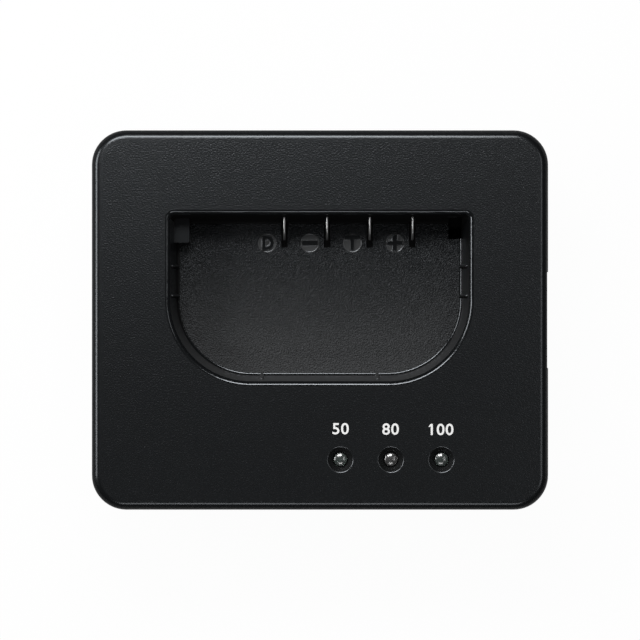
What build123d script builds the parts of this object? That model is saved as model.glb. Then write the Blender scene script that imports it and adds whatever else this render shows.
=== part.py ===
from build123d import *
import os

# Camera battery charger with a drop-in battery bay, three charge lamps and a two-pin mains inlet.
# Millimetres, +Z up, +X to the inlet side, +Y to the contact side.
# The origin is on the table, under the middle of the case.

# Case shells
case_width = 95.0
case_depth = 79.0
case_height = 29.2
corner_radius = 7.2
top_edge_radius = 1.9
base_edge_radius = 1.2
case_wall = 2.2
top_wall = 2.2
base_wall = 2.2
lower_height = 12.2
parting_bevel = 0.3
tongue_height = 1.6
tongue_thickness = 1.0
tongue_clearance = 0.1
cut_past = 1.0
near = 1e-4

# Battery bay, an open tub in the top shell
bay_width = 62.4
bay_length = 34.9
bay_center_x = -0.1
bay_center_y = 4.6
bay_depth = 8.5
bay_lean = 1.3
bay_front_radius = 16.9
bay_rear_radius = 0.8
bay_wall = 1.8
bay_floor = 1.8
bay_lip_radius = 1.0
bay_root_radius = 0.6

# Crush ribs on the bay's side and front walls
rib_radius = 0.45
rib_top_gap = 3.0
side_rib_pitch = 6.2
side_rib_center_y = 8.1
front_rib_pitch = 24.2

# Locating block and keyway in the bay's rear corners
key_block_width = 2.65
key_block_length = 4.55
key_block_height = 3.4
key_block_edge = 0.3
keyway_width = 2.8
keyway_length = 3.7
keyway_sink = 2.5
keyway_bite = 1.0
keyway_roof = 3.3
keyway_wall = 1.4
keyway_bead_radius = 0.28
keyway_bead_length = 1.9
keyway_bead_offset = 0.3

# Battery contacts
contact_pitch = 8.95
contact_center_x = 5.97
blade_thickness = 0.45
blade_reach = 4.0
blade_lift = 0.5
blade_height = 4.1
blade_tail_drop = 1.2
blade_nose_radius = 3.0
blade_tail_width = 2.6
blade_pin_width = 1.0
slot_clearance = 0.45
slot_lift = 0.2
slot_reach = 5.5
slot_sink = 1.2

# Terminal discs, sunk in the bay floor around raised marks
disc_radius = 2.05
disc_offset_x = 3.66
disc_inset_y = 4.55
disc_sink = 0.4
disc_root_radius = 0.3
sign_size = 3.4
sign_stroke = 0.88
letter_size = 3.05
letter_stroke = 0.75
bowl_stem = 0.975
bowl_shift = -0.1
mark_root = 0.2

# Charge lamps
lamp_pitch = 10.5
lamp_center_x = 14.75
lamp_inset_y = 10.5
lamp_radius = 1.45
lamp_dome_radius = 3.0
lamp_length = 4.3
lamp_sink = 0.5
lamp_hole_clearance = 0.15
lamp_flange_radius = 1.9
lamp_flange_height = 1.0
lamp_seat_clearance = 0.1
lamp_collar_wall = 1.3
sink_radius = 2.65
sink_depth = 1.1
sink_edge = 0.4
lamp_leg_pitch = 2.54
lamp_leg_width = 0.5
lamp_cup_radius = 0.6
lamp_cup_height = 0.5
lamp_cup_lift = 2.4
lamp_cup_rim = 0.12
lamp_cup_floor = 0.3
lamp_chip_width = 0.3
lamp_chip_height = 0.17
lamp_post_width = 0.3
lamp_post_gap = 0.15
holder_depth = 4.6
holder_margin = 2.6
holder_foot = 3.0
holder_column = 4.4

# Mains inlet and its two pins
inlet_width = 18.6
inlet_height = 11.4
inlet_length = 14.6
inlet_corner = 2.0
inlet_clearance = 0.15
inlet_ear = 1.4
inlet_ear_thickness = 1.5
inlet_panel_width = 20.0
inlet_panel_depth = 0.25
socket_radius = 4.35
socket_waist = 5.8
socket_depth = 11.6
pin_pitch = 8.6
pin_radius = 1.2
pin_length = 9.8
pin_tip = 0.6
pin_collar_radius = 1.5
pin_tail_width = 1.2
pin_tail_set = 1.1

# Feet, screws and the bare panel under the base
foot_radius = 4.5
foot_stand = 0.8
foot_seat = 1.0
foot_clearance = 0.1
foot_edge = 0.3
foot_inset_x = 20.5
foot_inset_y = 8.5
panel_width = 42.0
panel_length = 30.0
panel_corner = 2.0
panel_sink = 0.3
screw_inset = 8.4
tower_radius = 4.4
tower_gap = 0.6
boss_radius = 3.2
boss_drop = 2.0
seat_thickness = 2.5
screw_radius = 1.3
screw_clearance = 0.2
screw_length = 10.0
screw_end_gap = 0.6
screw_head_radius = 2.5
screw_head_height = 1.9
head_clearance = 0.3
drive_width = 0.8
drive_depth = 1.0
drive_share = 0.7

# Circuit board and its fixing
board_thickness = 1.6
board_gap = 1.2
standoff_height = 2.4
standoff_radius = 2.6
board_screw_inset = 9.0
board_screw_pitch = 34.0
board_screw_radius = 1.0
board_screw_length = 3.4
board_screw_head = 1.9
board_screw_head_height = 1.3
lead_radius = 0.35
lead_clearance = 0.12
lead_below = 1.0
part_gap = 1.5

# Contact carrier behind the bay
carrier_gap = 0.4
carrier_depth = 5.0
carrier_margin = 3.2
carrier_cover = 1.2
blade_fit = 0.03
peg_radius = 1.0
peg_clearance = 0.1

# Power parts on the board
fuse_radius = 4.2
fuse_height = 7.8
fuse_pitch = 5.08
x_cap_width = 6.0
x_cap_length = 13.0
x_cap_headroom = 1.7
x_cap_pitch = 10.0
choke_outer_radius = 7.0
choke_inner_radius = 3.6
choke_height = 5.0
choke_turn = 0.9
choke_span = 140.0
choke_lead_inset = 1.4
bridge_width = 8.4
bridge_length = 6.4
bridge_height = 3.3
bulk_radius = 5.0
bulk_length = 17.0
bulk_lead_pitch = 5.0
can_edge = 0.6
can_groove = 0.35
transformer_width = 19.0
transformer_depth = 5.6
transformer_height = 15.0
core_yoke = 3.6
core_leg = 2.6
core_post = 5.0
bobbin_wall = 0.8
bobbin_flange = 1.0
bobbin_depth = 15.6
bobbin_foot = 2.6
bobbin_pin_pitch = 3.8
core_clearance = 0.1
winding_gap = 0.4
y_cap_radius = 4.2
y_cap_thickness = 3.6
y_cap_pitch = 7.5

# Control parts on the board
chip_length = 9.4
chip_width = 6.3
chip_height = 3.2
opto_length = 4.6
charge_chip_length = 9.9
charge_chip_width = 3.9
charge_chip_height = 1.5
chip_edge = 0.3
chip_leg_pitch = 2.54
charge_leg_pitch = 1.27
bridge_legs = 2
switch_legs = 4
opto_legs = 2
diode_legs = 1
charge_legs = 7
chip_leg_width = 0.45
chip_leg_reach = 0.9
chip_leg_height = 0.9
diode_width = 4.4
diode_length = 5.4
diode_height = 2.3
inductor_side = 8.0
inductor_height = 5.6
inductor_edge = 1.2
out_cap_radius = 4.0
out_cap_height = 11.5
out_cap_pitch = 3.5
resistor_length = 2.0
resistor_width = 1.25
resistor_height = 0.55
resistor_pitch = 2.6
resistor_count = 5
ceramic_height = 1.1
ceramic_count = 3

# Levels and faces worked out from the sizes above
base_z = foot_stand
top_z = base_z + case_height
parting_z = base_z + lower_height
inside_top_z = top_z - top_wall
inside_base_z = base_z + base_wall
board_z = inside_base_z + standoff_height
board_top_z = board_z + board_thickness
half_width = case_width / 2
half_depth = case_depth / 2
inside_half_width = half_width - case_wall
inside_half_depth = half_depth - case_wall
bay_rear_y = bay_center_y + bay_length / 2
bay_front_y = bay_center_y - bay_length / 2
bay_floor_z = top_z - bay_depth
bay_under_z = bay_floor_z - bay_floor
x_cap_height = bay_under_z - board_top_z - x_cap_headroom
bay_back_y = bay_rear_y + bay_wall
floor_rear_y = bay_rear_y - bay_lean
floor_left_x = bay_center_x - bay_width / 2 + bay_lean
floor_right_x = bay_center_x + bay_width / 2 - bay_lean
tower_x = half_width - screw_inset
tower_y = half_depth - screw_inset
tower_top_z = parting_z - boss_drop
screw_seat_z = tower_top_z - seat_thickness
inlet_face_x = half_width - inlet_panel_depth
inlet_back_x = inlet_face_x - inlet_length
inlet_z = board_top_z + inlet_height / 2
lamp_y = lamp_inset_y - half_depth
lamp_top_z = top_z - lamp_sink
lamp_flange_top_z = lamp_top_z - lamp_length
lamp_flange_z = lamp_flange_top_z - lamp_flange_height
blade_z = bay_floor_z + blade_lift
blade_top_z = blade_z + blade_height
tail_top_z = blade_top_z - blade_tail_drop
carrier_y = bay_back_y + carrier_gap
carrier_back_y = carrier_y + carrier_depth
contact_names = ["data", "minus", "temperature", "plus"]
contact_xs = [contact_center_x + (i - 1.5) * contact_pitch for i in range(4)]
lamp_names = ["50", "80", "100"]
lamp_xs = [lamp_center_x + (i - 1) * lamp_pitch for i in range(3)]
corners = [(-1, -1), (1, -1), (-1, 1), (1, 1)]
tower_places = [(sx * tower_x, sy * tower_y) for sx, sy in corners]
board_screw_x = half_width - board_screw_inset
standoff_places = [(sx * board_screw_x, sy * board_screw_pitch / 2) for sx, sy in corners]

standing = (Align.CENTER, Align.CENTER, Align.MIN)
lead_holes = []


def block(width, length, height, x, y, z):
    """Box that stands on height z with its middle over (x, y)."""
    return Pos(x, y, z) * Box(width, length, height, align=standing)


def span(x0, x1, y0, y1, z0, z1):
    """Box between two corners."""
    return block(x1 - x0, y1 - y0, z1 - z0, (x0 + x1) / 2, (y0 + y1) / 2, z0)


def post(radius, height, x, y, z):
    """Round post that stands on height z."""
    return Pos(x, y, z) * Cylinder(radius, height, align=standing)


def plate(width, length, radius, z0, z1):
    """Plate with round corners, about the middle of the case."""
    return extrude(Pos(0, 0, z0) * RectangleRounded(width, length, radius), z1 - z0)


def lead(x, y, top_z):
    """Round wire from top_z down through the board, which gets a hole for it."""
    lead_holes.append((x, y, lead_radius))
    low_z = board_z - lead_below
    return post(lead_radius, top_z - low_z, x, y, low_z)


def square_hole(width):
    """Radius of the round board hole that takes a square lead."""
    return width / 2 ** 0.5


def case_ring(outer_inset, inner_inset, z0, z1):
    """Upright ring that follows the case's outline, between two distances inside it."""
    rings = []
    for inset in (outer_inset, inner_inset):
        rings.append(plate(case_width - 2 * inset, case_depth - 2 * inset, corner_radius - inset, z0, z1))
    return rings[0] - rings[1]


def case_inside(z0, z1):
    """The room inside the case's walls, between two heights."""
    return plate(2 * inside_half_width, 2 * inside_half_depth, corner_radius - case_wall, z0, z1)


def bay_outline(grow, z):
    """The bay's D-shaped outline at height z, grown outwards by a distance."""
    width = bay_width + 2 * grow
    length = bay_length + 2 * grow
    outline = Rectangle(width, length)
    outline = fillet(outline.vertices().group_by(Axis.Y)[0], bay_front_radius + grow)
    outline = fillet(outline.vertices().group_by(Axis.Y)[-1], bay_rear_radius + max(grow, 0))
    return Pos(bay_center_x, bay_center_y, z) * outline


def level_with(edge, z):
    """Whether an edge lies flat at height z."""
    box = edge.bounding_box()
    return abs(box.min.Z - z) < near and abs(box.max.Z - z) < near


def inlet_opening():
    """Hole through the side wall for the inlet, shared by both shells."""
    width = inlet_width + 2 * inlet_clearance
    height = inlet_height + 2 * inlet_clearance
    sketch = Plane.YZ * RectangleRounded(width, height, inlet_corner)
    return Pos(inside_half_width - cut_past, 0, inlet_z) * extrude(sketch, case_wall + 2 * cut_past)


def inlet_panel():
    """Shallow upright recess in the side wall around the inlet."""
    half_panel = inlet_panel_width / 2
    outer_x = half_width + cut_past
    return span(inlet_face_x, outer_x, -half_panel, half_panel, base_z - cut_past, top_z + cut_past)


def bay_ribs():
    """Half-round crush ribs that lean with the bay's walls."""
    rise = bay_depth - rib_top_gap
    slant = Vector(0, bay_lean * rise / bay_depth, rise)
    foot = Vector(0, 0, -rib_radius)
    rib = Solid.make_cylinder(rib_radius, slant.length, Plane((0, 0, 0), x_dir=(1, 0, 0), z_dir=slant))
    rib = rib + Solid.make_cylinder(rib_radius, rib_radius, Plane(foot, z_dir=(0, 0, 1)))
    rib = rib + Pos(slant) * Sphere(rib_radius)
    ribs = []
    for i in (-0.5, 0.5):
        y = side_rib_center_y + i * side_rib_pitch
        ribs.append(Pos(floor_right_x, y, bay_floor_z) * Rot(0, 0, -90) * rib)
        ribs.append(Pos(floor_left_x, y, bay_floor_z) * Rot(0, 0, 90) * rib)
        front_place = Pos(bay_center_x + i * front_rib_pitch, bay_front_y + bay_lean, bay_floor_z)
        ribs.append(front_place * Rot(0, 0, 180) * rib)
    return ribs


def round_ended(radius, stem):
    """Half disc on the right of the origin, with a straight stretch of a given width on its left."""
    half_disc = Circle(radius) & Pos(radius / 2, 0) * Rectangle(radius, 2 * radius)
    return half_disc + Pos(-stem / 2, 0) * Rectangle(stem, 2 * radius)


def terminal_mark(name, x, y, z):
    """Raised terminal mark in its disc: D for data, a bar, T for temperature, or a cross."""
    half = letter_size / 2
    if name == "data":
        sketch = round_ended(half, bowl_stem) - round_ended(half - letter_stroke, bowl_stem - letter_stroke)
        sketch = Pos(bowl_shift, 0) * sketch
    elif name == "temperature":
        bar_y = half - letter_stroke / 2
        sketch = Rectangle(letter_stroke, letter_size) + Pos(0, bar_y) * Rectangle(letter_size, letter_stroke)
    else:
        sketch = Rectangle(sign_size, sign_stroke)
    if name == "plus":
        sketch = sketch + Rectangle(sign_stroke, sign_size)
    mark_height = disc_sink + mark_root
    disc = post(disc_radius, mark_height, x, y, z - mark_height)
    return extrude(Pos(x, y, z - mark_height) * sketch, mark_height) & disc


def upper_case():
    """Top shell, moulded in one piece with the battery bay, lamp holes and screw bosses."""
    shell = plate(case_width, case_depth, corner_radius, parting_z, top_z)
    shell = fillet(shell.edges().group_by(Axis.Z)[-1], top_edge_radius)
    shell = chamfer(shell.edges().group_by(Axis.Z)[0], parting_bevel)
    shell = shell - case_inside(parting_z, inside_top_z)
    tub_grow = bay_wall - bay_lean
    tub_top_z = inside_top_z + top_wall / 2
    tub = loft([bay_outline(tub_grow, bay_under_z), bay_outline(bay_wall, tub_top_z)], ruled=True)
    bay = loft([bay_outline(-bay_lean, bay_floor_z), bay_outline(0, top_z)], ruled=True)
    shell = shell + tub - bay
    root = [e for e in shell.edges() if level_with(e, bay_floor_z)]
    shell = fillet(root, bay_root_radius)
    reach = bay_width / 2 + near
    lip = [e for e in shell.edges() if level_with(e, top_z) and abs(e.center().X - bay_center_x) < reach]
    lip = [e for e in lip if bay_front_y - near < e.center().Y < bay_rear_y + near]
    shell = fillet(lip, bay_lip_radius)

    for rib in bay_ribs():
        shell = shell + rib
    key_x = floor_left_x + key_block_width
    key_y = floor_rear_y - key_block_length
    key_z = bay_floor_z - bay_floor / 2
    key = span(-half_width, key_x, key_y, half_depth, key_z, bay_floor_z + key_block_height)
    key = fillet(key.edges().filter_by(Axis.Z).sort_by(Axis.X)[-2:].sort_by(Axis.Y)[0], key_block_edge)
    shell = shell + (key & tub)

    well_x0 = floor_right_x - keyway_width
    well_y0 = floor_rear_y - keyway_length
    well_z = bay_floor_z - keyway_sink
    sleeve_z = well_z - keyway_wall
    sleeve = span(well_x0 - keyway_wall, floor_right_x + keyway_wall, well_y0 - keyway_wall,
                  floor_rear_y + keyway_bite + keyway_wall, sleeve_z, bay_floor_z)
    sleeve = sleeve - bay
    well = span(well_x0, floor_right_x, well_y0, floor_rear_y + keyway_bite, well_z, top_z - keyway_roof)
    shell = shell + sleeve - well
    bead_z = top_z - keyway_roof + keyway_bead_radius
    bead_y = bay_rear_y - bay_lean * (top_z - bead_z) / bay_depth
    bead_end = Plane((well_x0 - keyway_bead_offset, bead_y, bead_z), z_dir=(1, 0, 0))
    shell = shell + Solid.make_cylinder(keyway_bead_radius, keyway_bead_length, bead_end)

    for name, x in zip(contact_names, contact_xs):
        disc_x = x - disc_offset_x
        disc_y = floor_rear_y - disc_inset_y
        disc = post(disc_radius, disc_sink, disc_x, disc_y, bay_floor_z - disc_sink)
        disc = fillet(disc.edges().group_by(Axis.Z)[0], disc_root_radius)
        shell = shell - disc + terminal_mark(name, disc_x, disc_y, bay_floor_z)
        slot_width = blade_thickness + 2 * slot_clearance
        slot_height = blade_height + 2 * slot_lift
        slot_x0 = x - slot_width / 2
        slot_z0 = blade_z - slot_lift
        slot_y0 = floor_rear_y - slot_clearance
        slot_y1 = bay_back_y + cut_past
        shell = shell - span(slot_x0, slot_x0 + slot_width, slot_y0, slot_y1, slot_z0, slot_z0 + slot_height)
        groove_y0 = floor_rear_y - slot_reach
        groove_z0 = bay_floor_z - slot_sink
        shell = shell - span(slot_x0, slot_x0 + slot_width, groove_y0, floor_rear_y, groove_z0, blade_z)

    bore = lamp_radius + lamp_hole_clearance
    collar_z = lamp_flange_top_z + lamp_seat_clearance
    for x in lamp_xs:
        shell = shell + post(bore + lamp_collar_wall, inside_top_z - collar_z, x, lamp_y, collar_z)
        shell = shell - post(bore, top_z - collar_z, x, lamp_y, collar_z)
        sink = Pos(x, lamp_y, top_z - sink_depth) * Cone(bore, sink_radius, sink_depth, align=standing)
        shell = shell - sink
    rims = [e for e in shell.edges() if level_with(e, top_z) and e.geom_type == GeomType.CIRCLE]
    shell = fillet([e for e in rims if abs(e.radius - sink_radius) < near], sink_edge)

    pilot_top_z = screw_seat_z + screw_length + screw_end_gap
    for x, y in tower_places:
        shell = shell + post(boss_radius, inside_top_z - tower_top_z, x, y, tower_top_z)
        shell = shell - post(screw_radius, pilot_top_z - tower_top_z, x, y, tower_top_z)
    rebate_z = parting_z + tongue_height + tongue_clearance
    shell = shell - case_ring(case_wall - tongue_thickness - tongue_clearance, case_wall, parting_z, rebate_z)
    return shell - inlet_opening() - inlet_panel()


def lower_case():
    """Base tray with the screw towers, board standoffs, foot seats and the tongue for the top shell."""
    shell = plate(case_width, case_depth, corner_radius, base_z, parting_z)
    shell = fillet(shell.edges().group_by(Axis.Z)[0], base_edge_radius)
    shell = chamfer(shell.edges().group_by(Axis.Z)[-1], parting_bevel)
    shell = shell - case_inside(inside_base_z, parting_z)
    tongue_z = parting_z - tongue_height
    shell = shell + case_ring(case_wall - tongue_thickness, case_wall, tongue_z, parting_z + tongue_height)
    for x, y in tower_places:
        shell = shell + post(tower_radius, tower_top_z - base_z, x, y, base_z)
        shell = shell - post(screw_head_radius + head_clearance, screw_seat_z - base_z, x, y, base_z)
        shell = shell - post(screw_radius + screw_clearance, seat_thickness, x, y, screw_seat_z)
    for x, y in standoff_places:
        shell = shell + post(standoff_radius, standoff_height, x, y, inside_base_z)
        hole_z = board_top_z - board_screw_length
        shell = shell - post(board_screw_radius, board_z - hole_z, x, y, hole_z)
    for sx, sy in corners:
        seat_x = sx * (half_width - foot_inset_x)
        seat_y = sy * (half_depth - foot_inset_y)
        shell = shell - post(foot_radius + foot_clearance, foot_seat, seat_x, seat_y, base_z)
    shell = shell - plate(panel_width, panel_length, panel_corner, base_z, base_z + panel_sink)
    return shell - inlet_opening() - inlet_panel()


def foot(sx, sy):
    """Rubber foot pressed into its seat under the base."""
    x = sx * (half_width - foot_inset_x)
    y = sy * (half_depth - foot_inset_y)
    pad = post(foot_radius, foot_stand + foot_seat, x, y, 0)
    return fillet(pad.edges().group_by(Axis.Z)[0], foot_edge)


def cross_head_screw(radius, length, head_size):
    """Screw with a cross drive, its shank up from the origin and its head below."""
    head_radius, head_height = head_size
    shank = Cylinder(radius, length, align=standing)
    head = Pos(0, 0, -head_height) * Cylinder(head_radius, head_height, align=standing)
    head = fillet(head.edges().group_by(Axis.Z)[0], head_height / 2)
    drive_span = 2 * drive_share * head_radius
    drive = Box(drive_span, drive_width, drive_depth) + Box(drive_width, drive_span, drive_depth)
    return shank + head - Pos(0, 0, drive_depth / 2 - head_height) * drive


def case_screws():
    """Four screws that go up through the base towers into the top shell's bosses."""
    screw = cross_head_screw(screw_radius, screw_length, (screw_head_radius, screw_head_height))
    return [Pos(x, y, screw_seat_z) * screw for x, y in tower_places]


def board_screws():
    """Four short screws that hold the board down on its standoffs."""
    head_size = (board_screw_head, board_screw_head_height)
    screw = cross_head_screw(board_screw_radius, board_screw_length, head_size)
    return [Pos(x, y, board_top_z) * Rot(180, 0, 0) * screw for x, y in standoff_places]


def contact_blade(x):
    """Flat stamped contact: nose in the bay, tail down through the carrier into the board."""
    nose_y = floor_rear_y - blade_reach
    back_y = carrier_back_y
    tail_y = back_y - blade_tail_width
    pin_y = back_y - blade_tail_width / 2 - blade_pin_width / 2
    low_z = board_z - lead_below
    points = [
        (nose_y, blade_z),
        (tail_y, blade_z),
        (tail_y, board_top_z),
        (pin_y, board_top_z),
        (pin_y, low_z),
        (pin_y + blade_pin_width, low_z),
        (pin_y + blade_pin_width, board_top_z),
        (back_y, board_top_z),
        (back_y, tail_top_z),
        (bay_back_y, tail_top_z),
        (bay_back_y, blade_top_z),
        (nose_y, blade_top_z),
    ]
    lead_holes.append((x, pin_y + blade_pin_width / 2, blade_pin_width / 2))
    outline = make_face(Polyline(points, close=True))
    nose = outline.vertices().group_by(Axis.X)[0].sort_by(Axis.Y)[-1]
    outline = fillet(nose, blade_nose_radius)
    return Pos(x - blade_thickness / 2, 0, 0) * extrude(Plane.YZ * outline, blade_thickness)


def contact_carrier():
    """Moulded block on the board that holds the four blades upright behind the bay."""
    x0 = contact_xs[0] - carrier_margin
    x1 = contact_xs[-1] + carrier_margin
    carrier = span(x0, x1, carrier_y, carrier_back_y, board_top_z, tail_top_z + carrier_cover)
    for x in contact_xs:
        slot_x0 = x - blade_thickness / 2 - blade_fit
        slot_x1 = x + blade_thickness / 2 + blade_fit
        tail_y = carrier_back_y - blade_tail_width - blade_fit
        carrier = carrier - span(slot_x0, slot_x1, tail_y, carrier_back_y, board_top_z, tail_top_z)
        carrier = carrier - span(slot_x0, slot_x1, carrier_y, carrier_back_y, blade_z, tail_top_z)
    for x in (x0 + carrier_margin / 2, x1 - carrier_margin / 2):
        y = (carrier_y + carrier_back_y) / 2
        carrier = carrier + post(peg_radius, board_thickness, x, y, board_z)
        lead_holes.append((x, y, peg_radius + peg_clearance - lead_clearance))
    return carrier


def lamp_frames(x):
    """The two legs of one lamp: a post on one side, and a cup for the chip in the middle."""
    half = lamp_leg_width / 2
    leg_x = lamp_leg_pitch / 2
    low_z = board_z - lead_below
    shelf_z = lamp_flange_z + lamp_leg_width / 2
    shelf_top_z = shelf_z + lamp_leg_width
    cup_z = lamp_flange_z + lamp_cup_lift
    post_x = lamp_cup_radius + lamp_post_gap
    cup_leg = span(leg_x - half, leg_x + half, -half, half, low_z, shelf_top_z)
    cup_leg = cup_leg + span(-half, leg_x + half, -half, half, shelf_z, shelf_top_z)
    cup_leg = cup_leg + span(-half, half, -half, half, shelf_z, cup_z)
    cup = post(lamp_cup_radius, lamp_cup_height, 0, 0, cup_z)
    mouth = lamp_cup_radius - lamp_cup_rim
    hollow = Pos(0, 0, cup_z) * Cone(lamp_cup_floor, mouth, lamp_cup_height, align=standing)
    chip = block(lamp_chip_width, lamp_chip_width, lamp_chip_height, 0, 0, cup_z)
    cup_leg = cup_leg + (cup - hollow) + chip
    side_leg = span(-leg_x - half, half - leg_x, -half, half, low_z, shelf_top_z)
    side_leg = side_leg + span(-leg_x - half, -post_x, -half, half, shelf_z, shelf_top_z)
    side_post = span(-post_x - lamp_post_width, -post_x, -half, half, shelf_z, cup_z + lamp_cup_height)
    for side in (-1, 1):
        lead_holes.append((x + side * leg_x, lamp_y, square_hole(lamp_leg_width)))
    return [Pos(x, lamp_y, 0) * cup_leg, Pos(x, lamp_y, 0) * (side_leg + side_post)]


def lamp_lens(x, frames):
    """Clear moulded lamp body with a low domed top, cast around its legs."""
    lens = post(lamp_flange_radius, lamp_flange_height, x, lamp_y, lamp_flange_z)
    dome = Pos(x, lamp_y, lamp_top_z - lamp_dome_radius) * Sphere(lamp_dome_radius)
    lens = lens + (post(lamp_radius, lamp_length, x, lamp_y, lamp_flange_top_z) & dome)
    for frame in frames:
        lens = lens - frame
    return lens


def lamp_holder():
    """Moulded spacer that stands on the board and carries the three lamps under their holes."""
    x0 = lamp_xs[0] - holder_margin
    x1 = lamp_xs[-1] + holder_margin
    y0 = lamp_y - holder_depth / 2
    y1 = lamp_y + holder_depth / 2
    height = lamp_flange_z - board_top_z
    leg_side = lamp_leg_width + 2 * lead_clearance
    holder = span(x0, x1, y0, y1, board_top_z, board_top_z + holder_foot)
    for x in lamp_xs:
        holder = holder + block(holder_column, holder_depth, height, x, lamp_y, board_top_z)
        for side in (-1, 1):
            leg_x = x + side * lamp_leg_pitch / 2
            holder = holder - block(leg_side, leg_side, height, leg_x, lamp_y, board_top_z)
    return holder


def socket_sketch():
    """Figure-of-eight outline of the inlet's socket."""
    lobe = Circle(socket_radius)
    sketch = Pos(pin_pitch / 2, 0) * lobe + Pos(-pin_pitch / 2, 0) * lobe
    return sketch + Rectangle(pin_pitch, socket_waist)


def inlet_pin(side):
    """Round mains pin with a flat tail down into the board."""
    y = side * pin_pitch / 2
    root_x = inlet_face_x - socket_depth
    tail_x = inlet_back_x + pin_tail_set
    half = pin_tail_width / 2
    rod = Pos(root_x, y, inlet_z) * Rot(0, 90, 0) * Cylinder(pin_radius, pin_length, align=standing)
    rod = fillet(rod.edges().group_by(Axis.X)[-1], pin_tip)
    collar_x = tail_x - half
    collar = Cylinder(pin_collar_radius, root_x - collar_x, align=standing)
    rod = rod + Pos(collar_x, y, inlet_z) * Rot(0, 90, 0) * collar
    low_z = board_z - lead_below
    lead_holes.append((tail_x, y, square_hole(pin_tail_width)))
    return rod + block(pin_tail_width, pin_tail_width, inlet_z - low_z, tail_x, y, low_z)


def mains_inlet(pins):
    """Inlet housing, open to the side, held between the shells by an ear on each side."""
    face = Plane.YZ * RectangleRounded(inlet_width, inlet_height, inlet_corner)
    housing = Pos(inlet_back_x, 0, inlet_z) * extrude(face, inlet_length)
    ear_x1 = inside_half_width - inlet_clearance
    ear_half = inlet_width / 2 + inlet_ear
    ear_z0 = board_top_z + inlet_corner
    ear_z1 = board_top_z + inlet_height - inlet_corner
    housing = housing + span(ear_x1 - inlet_ear_thickness, ear_x1, -ear_half, ear_half, ear_z0, ear_z1)
    socket = extrude(Plane.YZ * socket_sketch(), socket_depth)
    housing = housing - Pos(inlet_face_x - socket_depth, 0, inlet_z) * socket
    for pin in pins:
        housing = housing - pin
    return housing


def circuit_board():
    """Board cut out around the screw towers, with a hole for every lead."""
    board_width = 2 * (inside_half_width - board_gap)
    board_length = 2 * (inside_half_depth - board_gap)
    board = block(board_width, board_length, board_thickness, 0, 0, board_z)
    notch_radius = tower_radius + tower_gap
    for sx, sy in corners:
        edge_x = sorted((sx * tower_x, sx * half_width))
        edge_y = sorted((sy * tower_y, sy * half_depth))
        wide_x = sorted((sx * (tower_x - notch_radius), sx * half_width))
        wide_y = sorted((sy * (tower_y - notch_radius), sy * half_depth))
        board = board - post(notch_radius, board_thickness, sx * tower_x, sy * tower_y, board_z)
        board = board - span(*edge_x, *wide_y, board_z, board_top_z)
        board = board - span(*wide_x, *edge_y, board_z, board_top_z)
    for x, y in standoff_places:
        board = board - post(board_screw_radius + screw_clearance, board_thickness, x, y, board_z)
    for x, y, radius in lead_holes:
        board = board - post(radius + lead_clearance, board_thickness, x, y, board_z)
    return board


def round_can(radius, height):
    """Aluminium can with a rolled groove near its base and a soft top edge."""
    can = Cylinder(radius, height, align=standing)
    can = fillet(can.edges().group_by(Axis.Z)[-1], can_edge)
    groove = Cylinder(radius + cut_past, 2 * can_groove, align=standing)
    groove = groove - Cylinder(radius - can_groove, 2 * can_groove, align=standing)
    return can - Pos(0, 0, 3 * can_groove) * groove


def fuse(x, y):
    """Round moulded fuse on two leads."""
    body = post(fuse_radius, fuse_height, x, y, board_top_z)
    body = fillet(body.edges().group_by(Axis.Z)[-1], can_edge)
    for side in (-0.5, 0.5):
        body = body + lead(x, y + side * fuse_pitch, board_top_z + can_edge)
    return body


def x_capacitor(x, y):
    """Boxed mains filter capacitor on two leads."""
    body = block(x_cap_width, x_cap_length, x_cap_height, x, y, board_top_z)
    body = fillet(body.edges().filter_by(Axis.Z), can_edge)
    for side in (-0.5, 0.5):
        body = body + lead(x, y + side * x_cap_pitch, board_top_z + can_edge)
    return body


def choke(x, y):
    """Ring core lying flat, and the two windings that wrap it."""
    core_z = board_top_z + choke_turn
    core = post(choke_outer_radius, choke_height, x, y, core_z)
    core = core - post(choke_inner_radius, choke_height, x, y, core_z)
    coil_width = choke_outer_radius - choke_inner_radius + 2 * choke_turn
    coil_middle = (choke_outer_radius + choke_inner_radius) / 2
    profile = Rectangle(coil_width, choke_height + 2 * choke_turn)
    profile = fillet(profile.vertices(), 0.9 * choke_turn)
    coil = revolve(Plane.XZ * Pos(coil_middle, 0) * profile, Axis.Z, choke_span)
    windings = []
    for side in (0, 180):
        turn = Rot(0, 0, side + 90 - choke_span / 2)
        winding = Pos(x, y, core_z + choke_height / 2) * turn * coil - core
        reach = choke_outer_radius - choke_lead_inset
        lead_y = y + (reach if side == 0 else -reach)
        for lead_x in (x - fuse_pitch / 2, x + fuse_pitch / 2):
            winding = winding + (lead(lead_x, lead_y, core_z) - core)
        windings.append(winding)
    return core, windings


def leaded_chip(size, leg_pitch, legs, x, y):
    """Moulded chip package with bent legs along its two long sides."""
    length, width, height = size
    body = block(length, width, height - chip_edge, x, y, board_top_z + chip_edge)
    body = chamfer(body.edges().group_by(Axis.Z)[-1], chip_edge)
    knee = width / 2 + chip_leg_width
    leg_outline = [
        (width / 2 - chip_edge, chip_leg_height),
        (knee, chip_leg_height),
        (knee, chip_edge),
        (width / 2 + chip_leg_reach, chip_edge),
        (width / 2 + chip_leg_reach, 0),
        (knee - chip_edge, 0),
        (knee - chip_edge, chip_leg_height - chip_edge),
        (width / 2 - chip_edge, chip_leg_height - chip_edge),
    ]
    leg = extrude(Plane.YZ * make_face(Polyline(leg_outline, close=True)), chip_leg_width)
    leg = Pos(-chip_leg_width / 2, 0, 0) * leg
    for i in range(legs):
        leg_x = x + (i - (legs - 1) / 2) * leg_pitch
        for turn in (0, 180):
            body = body + Pos(leg_x, y, board_top_z) * Rot(0, 0, turn) * leg
    return body


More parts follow.
